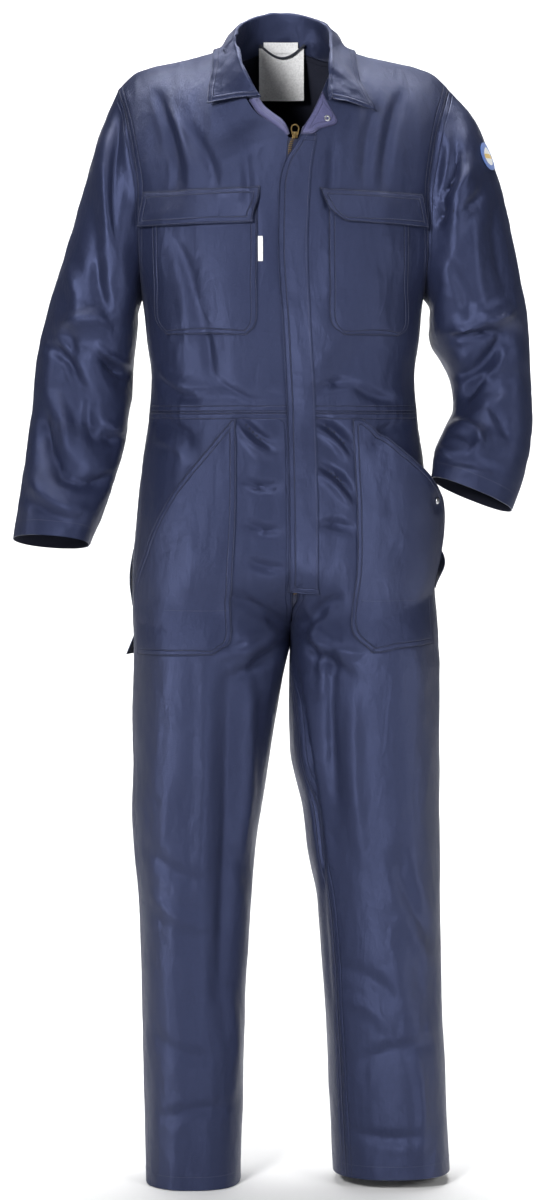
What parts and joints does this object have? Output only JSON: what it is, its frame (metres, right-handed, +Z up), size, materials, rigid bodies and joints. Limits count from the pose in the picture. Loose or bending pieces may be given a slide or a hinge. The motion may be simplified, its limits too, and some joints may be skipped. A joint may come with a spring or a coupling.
{
  "type": "boiler suit",
  "caption": "Long-sleeved boiler suit with a turned-down collar, covered front zip, flapped chest pockets and slanted hip pockets, filled out as worn.",
  "frame": {"origin": "between the shoulders, at the height where the shoulder seams meet the neck", "axes": "+Z up, towards the collar; the garment faces -Y; +X is the wearer's left"},
  "size_m": [0.691, 0.2715, 1.5729],
  "materials": {
    "navy_satin_cotton": "heavy satin cotton with a soft sheen",
    "facing_navy": "satin cotton, reverse side",
    "grey_tape": "woven tape",
    "brass": "plain brass",
    "nickel": "nickel plate",
    "white_label": "woven label",
    "badge_blue": "embroidered twill"
  },
  "bodies": {
    "suit": {"bodice_front_right": "navy_satin_cotton", "bodice_front_left": "navy_satin_cotton", "bodice_back": "navy_satin_cotton", "sleeve_right": "navy_satin_cotton", "sleeve_left": "navy_satin_cotton", "leg_front_right": "navy_satin_cotton", "leg_front_left": "navy_satin_cotton", "leg_back_right": "navy_satin_cotton", "leg_back_left": "navy_satin_cotton", "collar": "navy_satin_cotton", "placket": "navy_satin_cotton", "chest_pocket_right": "navy_satin_cotton", "chest_pocket_left": "navy_satin_cotton", "flap_right": "navy_satin_cotton", "flap_left": "navy_satin_cotton", "hip_pocket_right": "navy_satin_cotton", "hip_pocket_left": "navy_satin_cotton", "slit_guard_right": "navy_satin_cotton", "slit_guard_left": "navy_satin_cotton", "rule_pocket": "navy_satin_cotton", "rule_flap": "navy_satin_cotton", "facing_right": "facing_navy", "facing_left": "facing_navy", "zip_chain": "grey_tape", "zip_slider": "brass", "zip_bridge": "brass", "neck_snap": "nickel", "hip_stud_left": "nickel", "neck_label": "white_label", "size_label": "white_label", "side_label": "white_label", "hanging_loop": "grey_tape", "sleeve_badge": "badge_blue"},
    "pull_tab": {"pull_tab": "brass"}
  },
  "joints": [
    {"name": "pull_tab_hinge", "type": "hinge", "parent": "suit", "child": "pull_tab", "pos_m": [0.015, -0.1206, -0.11866], "axis": [1, 0, 0], "range_deg": [-20, 95]}
  ]
}
